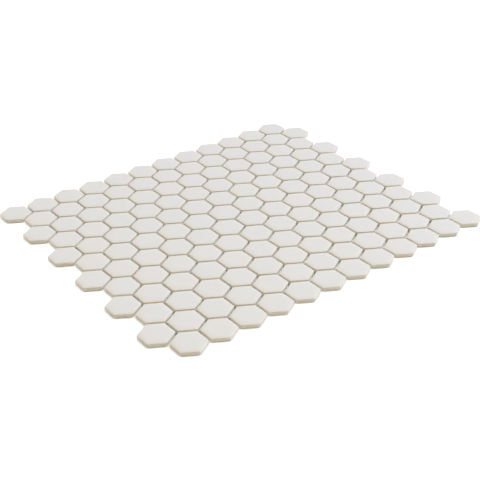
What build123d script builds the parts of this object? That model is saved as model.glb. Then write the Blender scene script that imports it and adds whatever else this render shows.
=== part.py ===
"""Sheet of hexagonal porcelain mosaic tiles, held together by glue dots in the corners of the joints.

Millimetres. The origin is in the middle of the sheet, on the plane that the tile backs lie on.
+X runs along the rows of tiles, +Y across them and +Z out of the face.
"""

from build123d import *
from math import sqrt
import os

# Driving dimensions: the layout of the sheet
ROWS = 12
TILES_PER_ROW = 12
JOINT_WIDTH = 2.0

# Driving dimensions: one tile
TILE_ACROSS_FLATS = 23.0
TILE_THICKNESS = 4.0
CUSHION_WIDTH = 2.0  # the pressed slope that runs round the flat of the face
CUSHION_DROP = 0.5
BACK_BEVEL = 1.0  # 45 degree relief round the back

# Driving dimensions: one glue dot
DOT_REACH = 4.2  # from the middle of the corner to the end of each arm
DOT_HEIGHT = 0.8  # lower than the back bevel, so the glue stays deep in the joint

# Lattice worked out from the driving dimensions
PITCH = TILE_ACROSS_FLATS + JOINT_WIDTH
ROW_PITCH = PITCH * sqrt(3) / 2
CORNER_OFFSET = PITCH / (2 * sqrt(3))  # from a row's centre line to the corners of its joints

HEXAGON_TURN = 30  # flats face along the row, points face the next rows
ARM_TURNS = (90, 210, 330)  # the three joints that meet at a corner, seen from the row above it


def row_centre(row):
    """Y of a row's centre line, with the first row at the back of the sheet."""
    return ((ROWS - 1) / 2 - row) * ROW_PITCH


def tile_centre(row, column):
    """X of a tile in its row: every second row is half a tile further along."""
    stagger = PITCH / 4 if row % 2 else -PITCH / 4
    return (column - (TILES_PER_ROW - 1) / 2) * PITCH + stagger


def mosaic_tile():
    """One pressed tile: relieved back, upright wall, cushioned edge round a flat face."""
    outline = RegularPolygon(TILE_ACROSS_FLATS / 2, 6, major_radius=False, rotation=HEXAGON_TURN)
    tile = extrude(outline, amount=TILE_THICKNESS)
    back = tile.faces().sort_by(Axis.Z)[0]
    tile = chamfer(back.edges(), BACK_BEVEL)
    face = tile.faces().sort_by(Axis.Z)[-1]
    return chamfer(face.edges(), length=CUSHION_WIDTH, length2=CUSHION_DROP, reference=face)


def glue_arm():
    """One arm of a dot, along +X: it fills the joint between two relieved backs."""
    at_back = JOINT_WIDTH / 2 + BACK_BEVEL
    at_top = at_back - DOT_HEIGHT
    corners = [(-at_back, 0), (at_back, 0), (at_top, DOT_HEIGHT), (-at_top, DOT_HEIGHT)]
    return extrude(Plane.YZ * Polygon(*corners, align=None), amount=DOT_REACH)


def glue_dot():
    """One dot, flush with the tile backs and seated on the bevels of the three tiles round it."""
    arms = [Rot(0, 0, turn) * glue_arm() for turn in ARM_TURNS]
    return arms[0] + arms[1] + arms[2]


def tile_row(tile, row):
    """One row of loose tiles."""
    places = [Pos(tile_centre(row, column), row_centre(row), 0) for column in range(TILES_PER_ROW)]
    return Compound([place * tile for place in places])


def dot_line(dot, row):
    """The dots along the joint between a row and the next one: one at each corner where three tiles meet."""
    places = []
    for column in range(TILES_PER_ROW - 1):
        upper = tile_centre(row, column) + PITCH / 2
        lower = tile_centre(row + 1, column) + PITCH / 2
        places.append(Pos(upper, row_centre(row) - CORNER_OFFSET, 0))
        places.append(Pos(lower, row_centre(row + 1) + CORNER_OFFSET, 0) * Rot(0, 0, 180))
    return Compound([place * dot for place in places])


def main():
    os.makedirs("parts", exist_ok=True)
    tile = mosaic_tile()
    dot = glue_dot()
    for row in range(ROWS):
        export_step(tile_row(tile, row), f"parts/tile_row_{row + 1:02d}.step")
    for row in range(ROWS - 1):
        export_step(dot_line(dot, row), f"parts/glue_dots_{row + 1:02d}.step")


main()
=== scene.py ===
"""Looks of a sheet of hexagonal porcelain mosaic tiles: softened matte tiles, glue in the joints, white studio."""

import random
from math import radians, sqrt

import bmesh
import bpy
from mathutils import Matrix, Vector


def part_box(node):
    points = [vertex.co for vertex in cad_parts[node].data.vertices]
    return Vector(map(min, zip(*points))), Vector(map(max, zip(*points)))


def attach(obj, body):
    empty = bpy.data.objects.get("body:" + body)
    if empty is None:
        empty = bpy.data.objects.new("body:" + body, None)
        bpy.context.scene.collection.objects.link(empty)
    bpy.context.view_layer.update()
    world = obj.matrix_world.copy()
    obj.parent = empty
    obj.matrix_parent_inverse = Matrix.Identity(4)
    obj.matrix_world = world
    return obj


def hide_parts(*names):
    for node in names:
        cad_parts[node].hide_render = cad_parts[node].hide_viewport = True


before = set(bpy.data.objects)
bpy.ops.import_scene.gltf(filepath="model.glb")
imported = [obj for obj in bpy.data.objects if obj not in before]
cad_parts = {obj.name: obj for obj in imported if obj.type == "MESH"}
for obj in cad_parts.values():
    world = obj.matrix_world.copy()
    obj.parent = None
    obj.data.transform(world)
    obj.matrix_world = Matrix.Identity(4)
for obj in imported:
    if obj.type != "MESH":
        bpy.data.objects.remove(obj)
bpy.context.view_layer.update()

MM = 0.001

# The sheet, as it is laid out in the frame
ROWS = 12
TILES_PER_ROW = 12
ACROSS_FLATS = 23.0 * MM

# One tile, ring by ring from the rim of its back to the flat of its face. Each ring has its inset from the flats, its
# height over the back, how much glaze covers it, its share of the painted edge light and whether it is a crisp edge.
TILE_RINGS = [
    (1.00, 0.00, 0.0, 0.0, True),
    (0.00, 1.00, 0.0, 0.0, True),
    (0.00, 3.36, 0.0, 0.0, True),
    (0.10, 3.50, 1.0, 1.0, True),
    (0.70, 3.71, 1.0, 1.0, False),
    (1.40, 3.86, 1.0, 0.8, False),
    (2.40, 3.96, 1.0, 0.35, False),
    (3.80, 4.00, 1.0, 0.0, False),
    (4.80, 4.00, 1.0, 0.0, False),
]
CORNER_CUT = 0.3 * MM  # how far the rounding of an upright corner reaches along the walls

# The glaze: the width of its faint clouds, and of its grain, which is drawn coarser than the real one so that it shows
CLOUD_WIDTH = 9 * MM
GRAIN_WIDTH = 0.6 * MM
CLOUD_SHARE = 0.3  # how much the clouds dull the glaze
EDGE_LIGHT_SHARE = 0.45  # how much the painted light on the rounded edge tints the glaze there

# One glue dot, as it is in the frame. Its middle carries painted shade, a dull grey-brown, which fades out to pale
# glue along its arms.
DOT_HEIGHT = 0.8 * MM
DOT_ROUNDING = 0.3 * MM
SHADED_REACH = 1.9 * MM
PALE_REACH = 2.7 * MM
DOT_CLOUD_WIDTH = 2 * MM
BEAD_CLOUD_WIDTH = 1 * MM

# The studio is open and bright to the right, and dim on the other sides
BRIGHT_SIDE = (1.0, 0.0, 0.0)
BRIGHT_ROOM = (1.17, 1.28, 1.52, 1)
DIM_ROOM = (0.12, 0.115, 0.105, 1)
FLOOR_REACH = 6  # metres, from the middle of the floor to its sides
CONTACT_SHADE = 2.5 * MM  # how far the shade in the joints and along the walls reaches over the floor

# Each soft lamp has its power in watts, its width in metres, its colour and its place
LAMPS = [
    ("key", 17.5, 1.1, "#F0F4FD", (1.01, -0.59, 1.50)),
    ("back_panel", 8.4, 0.8, "#FFFAF0", (-0.85, 1.26, 0.49)),
    ("warm_fill", 5.0, 0.8, "#FFE6A0", (-0.79, -0.94, 1.03)),
]

# The photograph's camera: its sensor and lens in millimetres, its place in metres and its turn in degrees
SENSOR = 36
LENS = 70.621
CAMERA_PLACE = (-0.40749, -0.54801, 0.38349)
CAMERA_TURN = (59.3728, 0.7773, -37.1942)

# A drop of glue ran down the front wall of one tile at the free left edge and set there as a bead. Its outline is a
# circle before it is flattened: points from its sunken middle to its rim, as distance and thickness.
BEAD_ROW = 9
BEAD_FROM_POINT = 2.8 * MM  # from the tile's front point to the middle of the bead
BEAD_HEIGHT = 1.2 * MM  # its middle over the back of the sheet
BEAD_OUTLINE = [(0.0, 0.14), (0.70, 0.16), (1.15, 0.48), (1.45, 0.42), (1.65, 0.0)]


def linear(hex_colour):
    """An sRGB hex colour as the linear one that a shader takes."""
    channels = [int(hex_colour[k:k + 2], 16) / 255 for k in (1, 3, 5)]
    return [c / 12.92 if c <= 0.04045 else ((c + 0.055) / 1.055) ** 2.4 for c in channels] + [1.0]


def add(tree, kind, inputs=None, **settings):
    """Adds a node with its settings. An input is a value, or the socket that feeds it."""
    node = tree.nodes.new(kind)
    for name, value in settings.items():
        setattr(node, name, value)
    for socket, value in (inputs or {}).items():
        if isinstance(value, bpy.types.NodeSocket):
            tree.links.new(value, node.inputs[socket])
        else:
            node.inputs[socket].default_value = value
    return node


def new_material(name):
    """An empty node material."""
    material = bpy.data.materials.new(name)
    material.use_nodes = True
    material.node_tree.nodes.clear()
    return material, material.node_tree


def matte_porcelain():
    """Pressed porcelain with a thin matte glaze: off-white on the face, with a creamier band of painted light along
    the rounded edge of the face, and the cream body bare on the walls."""
    material, tree = new_material("porcelain_matte_glaze")
    place = add(tree, "ShaderNodeTexCoord").outputs["Object"]
    tone = add(tree, "ShaderNodeAttribute", attribute_name="tile_tone").outputs["Fac"]
    glaze = add(tree, "ShaderNodeAttribute", attribute_name="glaze").outputs["Fac"]
    rim = add(tree, "ShaderNodeAttribute", attribute_name="rim").outputs["Fac"]
    cloud = add(tree, "ShaderNodeTexNoise", {"Vector": place, "Scale": 1 / CLOUD_WIDTH, "Detail": 3.0}).outputs["Fac"]
    grain = add(tree, "ShaderNodeTexNoise", {"Vector": place, "Scale": 1 / GRAIN_WIDTH, "Detail": 2.0})
    thick = add(tree, "ShaderNodeMath", {0: cloud, 1: CLOUD_SHARE}, operation="MULTIPLY")
    # Painted light: a creamier band along the rounded edge of each face, standing in for the warm light these slopes
    # catch.
    edge_light = add(tree, "ShaderNodeMath", {0: rim, 1: EDGE_LIGHT_SHARE}, operation="MULTIPLY")
    face = add(tree, "ShaderNodeMix", {0: tone, 6: linear("#EEEDEA"), 7: linear("#F0EDE9")}, data_type="RGBA")
    face = add(tree, "ShaderNodeMix", {
        0: thick.outputs[0], 6: face.outputs[2], 7: linear("#E8E5E0")}, data_type="RGBA")
    face = add(tree, "ShaderNodeMix", {
        0: edge_light.outputs[0], 6: face.outputs[2], 7: linear("#F2EBE1")}, data_type="RGBA")
    body = add(tree, "ShaderNodeMix", {0: cloud, 6: linear("#EAE5D9"), 7: linear("#EFEBE1")}, data_type="RGBA")
    colour = add(tree, "ShaderNodeMix", {0: glaze, 6: body.outputs[2], 7: face.outputs[2]}, data_type="RGBA")
    relief = add(tree, "ShaderNodeBump", {"Height": grain.outputs["Fac"], "Strength": 0.08, "Distance": 0.05 * MM})
    shader = add(tree, "ShaderNodeBsdfPrincipled", {
        "Base Color": colour.outputs[2], "Roughness": 0.55, "IOR": 1.5, "Normal": relief.outputs["Normal"]})
    add(tree, "ShaderNodeOutputMaterial", {"Surface": shader.outputs[0]})
    return material


def dot_glue():
    """Set mounting glue: a pale, slightly glossy skin, with painted shade in dull grey-brown over the middle of each
    dot that fades out along its arms.
    """
    material, tree = new_material("glue_with_painted_shade")
    place = add(tree, "ShaderNodeTexCoord").outputs["Object"]
    cloud = add(tree, "ShaderNodeTexNoise", {"Vector": place, "Scale": 1 / DOT_CLOUD_WIDTH, "Detail": 2.0})
    reach = add(tree, "ShaderNodeAttribute", attribute_name="reach").outputs["Fac"]
    # Painted shade: the dull grey-brown near each dot's middle stands in for the deep shade where the joints meet.
    tint_share = add(tree, "ShaderNodeMapRange", {"Value": reach, "From Min": SHADED_REACH, "From Max": PALE_REACH})
    colour = add(tree, "ShaderNodeMix", {
        0: cloud.outputs["Fac"], 6: linear("#8F877B"), 7: linear("#9C9488")}, data_type="RGBA")
    colour = add(tree, "ShaderNodeMix", {
        0: tint_share.outputs[0], 6: colour.outputs[2], 7: linear("#E8E5DE")}, data_type="RGBA")
    shader = add(tree, "ShaderNodeBsdfPrincipled", {"Base Color": colour.outputs[2], "Roughness": 0.4, "IOR": 1.45})
    add(tree, "ShaderNodeOutputMaterial", {"Surface": shader.outputs[0]})
    return material


def milky_glue():
    """Mounting glue where it ran out and set as a bead: milky, with a wet-looking skin."""
    material, tree = new_material("glue_milky")
    place = add(tree, "ShaderNodeTexCoord").outputs["Object"]
    cloud = add(tree, "ShaderNodeTexNoise", {"Vector": place, "Scale": 1 / BEAD_CLOUD_WIDTH, "Detail": 2.0})
    colour = add(tree, "ShaderNodeMix", {
        0: cloud.outputs["Fac"], 6: linear("#EDE9DF"), 7: linear("#F6F3EC")}, data_type="RGBA")
    shader = add(tree, "ShaderNodeBsdfPrincipled", {
        "Base Color": colour.outputs[2], "Roughness": 0.25, "IOR": 1.45})
    add(tree, "ShaderNodeOutputMaterial", {"Surface": shader.outputs[0]})
    return material


def pressed_tile():
    """The mesh of one tile about the origin, its back on z = 0."""
    shape = bmesh.new()
    glaze = shape.verts.layers.float.new("glaze")
    rim = shape.verts.layers.float.new("rim")
    apothem = ACROSS_FLATS / 2
    bmesh.ops.create_circle(shape, cap_ends=True, segments=6, radius=ACROSS_FLATS / sqrt(3))
    bmesh.ops.bevel(shape, geom=shape.verts[:], affect="VERTICES", offset=CORNER_CUT, segments=1, profile=0.5,
                    material=-1)
    ring, width, height = shape.faces[:], apothem, 0.0
    for number, (inset, level, cover, tint_share, crisp) in enumerate(TILE_RINGS):
        if number > 0:
            below = ring
            ring = [part for part in bmesh.ops.extrude_face_region(shape, geom=below)["geom"]
                    if isinstance(part, bmesh.types.BMFace)]
            if number > 1:
                bmesh.ops.delete(shape, geom=below, context="FACES_ONLY")
        corners = list({corner for face in ring for corner in face.verts})
        grow = (apothem - inset * MM) / width
        bmesh.ops.scale(shape, vec=(grow, grow, 1), verts=corners)
        bmesh.ops.translate(shape, vec=(0, 0, level * MM - height), verts=corners)
        width, height = apothem - inset * MM, level * MM
        # Each ring's share of the painted edge light goes to its corners as the rim attribute.
        for corner in corners:
            corner[glaze] = cover
            corner[rim] = tint_share
        for edge in {edge for face in ring for edge in face.edges}:
            edge.smooth = not crisp
    bmesh.ops.recalc_face_normals(shape, faces=shape.faces[:])
    for face in shape.faces:
        face.smooth = True
    mesh = bpy.data.meshes.new("tile")
    shape.to_mesh(mesh)
    shape.free()
    return mesh


def add_piece(shape, name, material, slot, *nodes):
    """Turns a bmesh into a piece of the sheet, which stands for the named frame nodes."""
    mesh = bpy.data.meshes.new(name)
    shape.to_mesh(mesh)
    shape.free()
    mesh.materials.append(material)
    piece = bpy.data.objects.new(name, mesh)
    bpy.context.scene.collection.objects.link(piece)
    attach(piece, "root")
    if nodes:
        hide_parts(*nodes)
    return piece


def lay_tile_row(row, tile, chance):
    """A row of tiles, each with a tone of its own."""
    low, high = (Vector(corner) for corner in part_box(f"tile_row_{row:02d}"))
    pitch = (high.x - low.x - ACROSS_FLATS) / (TILES_PER_ROW - 1)
    shape = bmesh.new()
    tone = shape.faces.layers.float.new("tile_tone")
    for column in range(TILES_PER_ROW):
        corners_before, faces_before = len(shape.verts), len(shape.faces)
        shape.from_mesh(tile)
        shape.verts.ensure_lookup_table()
        shape.faces.ensure_lookup_table()
        place = Matrix.Translation((low.x + ACROSS_FLATS / 2 + column * pitch, (low.y + high.y) / 2, 0))
        turn = Matrix.Rotation(radians(60 * chance.randrange(6)), 4, "Z")
        bmesh.ops.transform(shape, matrix=place @ turn, verts=shape.verts[corners_before:])
        shade = chance.random()
        for face in shape.faces[faces_before:]:
            face[tone] = shade
    return shape


def pool_glue_line(row):
    """The dots of one joint between rows, with their tops and ends drawn round as the glue set."""
    shape = bmesh.new()
    shape.from_mesh(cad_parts[f"glue_dots_{row:02d}"].data)
    reach = shape.verts.layers.float.new("reach")
    bmesh.ops.remove_doubles(shape, verts=shape.verts[:], dist=0.001 * MM)
    bmesh.ops.dissolve_limit(shape, angle_limit=radians(1), verts=shape.verts[:], edges=shape.edges[:])
    rims = [edge for edge in shape.edges if min(corner.co.z for corner in edge.verts) > DOT_HEIGHT / 2]
    bmesh.ops.bevel(shape, geom=rims, affect="EDGES", offset=DOT_ROUNDING, segments=1, profile=0.5, material=-1)
    tops = [face for face in shape.faces if min(corner.co.z for corner in face.verts) > 0.99 * DOT_HEIGHT]
    middles = [corner.co.xy for corner in bmesh.ops.poke(shape, faces=tops)["verts"]]
    for corner in shape.verts:
        corner[reach] = min((corner.co.xy - middle).length for middle in middles)
    for face in shape.faces:
        face.smooth = True
    return shape


def set_bead():
    """The bead on the wall: a drop that shrank as it set, thick at its rim and thin in the middle."""
    low, high = (Vector(corner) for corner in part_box(f"tile_row_{BEAD_ROW:02d}"))
    shape = bmesh.new()
    outline = [shape.verts.new((reach * MM, -thickness * MM, 0)) for reach, thickness in BEAD_OUTLINE]
    strip = [shape.edges.new(pair) for pair in zip(outline, outline[1:])]
    bmesh.ops.spin(shape, geom=outline + strip, cent=(0, 0, 0), axis=(0, 1, 0), angle=radians(360), steps=16,
                   use_merge=True)
    bmesh.ops.remove_doubles(shape, verts=shape.verts[:], dist=0.01 * MM)
    bmesh.ops.holes_fill(shape, edges=shape.edges[:])
    bmesh.ops.recalc_face_normals(shape, faces=shape.faces[:])
    bmesh.ops.scale(shape, vec=(1, 1, BEAD_HEIGHT / (BEAD_OUTLINE[-1][0] * MM)), verts=shape.verts[:])
    along = ACROSS_FLATS / (2 * sqrt(3)) - BEAD_FROM_POINT
    bmesh.ops.translate(shape, vec=(along, -ACROSS_FLATS / 2, BEAD_HEIGHT), verts=shape.verts[:])
    place = Matrix.Translation((low.x + ACROSS_FLATS / 2, (low.y + high.y) / 2, 0))
    bmesh.ops.transform(shape, matrix=place @ Matrix.Rotation(radians(-30), 4, "Z"), verts=shape.verts[:])
    for face in shape.faces:
        face.smooth = len(face.verts) < 5  # all but the flat back
    return shape


def seen_rays(tree):
    """The rays that show the studio itself, straight or in a reflection. All others only carry its light."""
    rays = add(tree, "ShaderNodeLightPath").outputs
    seen = add(tree, "ShaderNodeMath", {0: rays["Is Camera Ray"], 1: rays["Is Glossy Ray"]}, operation="MAXIMUM")
    seen = add(tree, "ShaderNodeMath", {0: seen.outputs[0], 1: rays["Is Transmission Ray"]}, operation="MAXIMUM")
    return seen.outputs[0]


def studio():
    """White floor and surround, a soft key light from the right, a low panel at the back and a warm fill."""
    material, tree = new_material("studio_floor")
    seen = seen_rays(tree)
    colour = add(tree, "ShaderNodeMix", {0: seen, 6: linear("#ECE9E3"), 7: linear("#A8A8A8")}, data_type="RGBA")
    # Painted shade: the floor's white glow dims in the joints and along the tile walls, where the floor is closed in.
    open_air = add(tree, "ShaderNodeAmbientOcclusion", {"Distance": CONTACT_SHADE}, samples=8)
    lift = add(tree, "ShaderNodeMath", {0: seen, 1: open_air.outputs["AO"]}, operation="MULTIPLY")
    shader = add(tree, "ShaderNodeBsdfPrincipled", {
        "Base Color": colour.outputs[2], "Roughness": 0.9, "Specular IOR Level": 0.0,
        "Emission Color": (1, 1, 1, 1), "Emission Strength": lift.outputs[0]})
    add(tree, "ShaderNodeOutputMaterial", {"Surface": shader.outputs[0]})
    ground = bmesh.new()
    bmesh.ops.create_grid(ground, x_segments=1, y_segments=1, size=FLOOR_REACH)
    mesh = bpy.data.meshes.new("studio_floor")
    ground.to_mesh(mesh)
    ground.free()
    mesh.materials.append(material)
    floor = bpy.data.objects.new("studio_floor", mesh)
    bpy.context.scene.collection.objects.link(floor)

    world = bpy.data.worlds.new("studio_surround")
    bpy.context.scene.world = world
    world.use_nodes = True
    tree = world.node_tree
    tree.nodes.clear()
    toward = add(tree, "ShaderNodeTexCoord").outputs["Generated"]
    side = add(tree, "ShaderNodeVectorMath", {0: toward, 1: BRIGHT_SIDE}, operation="DOT_PRODUCT")
    side = add(tree, "ShaderNodeMapRange", {"Value": side.outputs["Value"], "From Min": 0.0, "From Max": 1.0})
    room = add(tree, "ShaderNodeMix", {0: side.outputs[0], 6: DIM_ROOM, 7: BRIGHT_ROOM}, data_type="RGBA")
    colour = add(tree, "ShaderNodeMix", {
        0: seen_rays(tree), 6: room.outputs[2], 7: (1, 1, 1, 1)}, data_type="RGBA")
    background = add(tree, "ShaderNodeBackground", {"Color": colour.outputs[2], "Strength": 1.0})
    add(tree, "ShaderNodeOutputWorld", {"Surface": background.outputs[0]})

    for name, power, width, colour, place in LAMPS:
        light = bpy.data.lights.new(name, "AREA")
        light.shape = "DISK"
        light.size = width
        light.energy = power
        light.color = linear(colour)[:3]
        lamp = bpy.data.objects.new(name, light)
        lamp.location = place
        lamp.visible_camera = False
        lamp.rotation_euler = (-lamp.location).to_track_quat("-Z", "Y").to_euler()
        bpy.context.scene.collection.objects.link(lamp)


def aim_camera():
    """The photograph's view: from the front left, looking down at about thirty degrees."""
    lens = bpy.data.cameras.new("view")
    lens.sensor_width = SENSOR
    lens.lens = LENS
    lens.clip_start = 0.01
    camera = bpy.data.objects.new("view", lens)
    camera.location = CAMERA_PLACE
    camera.rotation_euler = [radians(angle) for angle in CAMERA_TURN]
    bpy.context.scene.collection.objects.link(camera)
    bpy.context.scene.camera = camera


chance = random.Random(12)
porcelain = matte_porcelain()
glue = dot_glue()
tile = pressed_tile()
for row in range(1, ROWS + 1):
    tiles = lay_tile_row(row, tile, chance)
    add_piece(tiles, f"porcelain_tiles_{row:02d}", porcelain, "porcelain", f"tile_row_{row:02d}")
for row in range(1, ROWS):
    dots = pool_glue_line(row)
    add_piece(dots, f"set_glue_{row:02d}", glue, "glue", f"glue_dots_{row:02d}")
add_piece(set_bead(), "set_glue_bead", milky_glue(), "glue")
bpy.data.meshes.remove(tile)

studio()
aim_camera()
bpy.context.scene.view_settings.view_transform = "Standard"
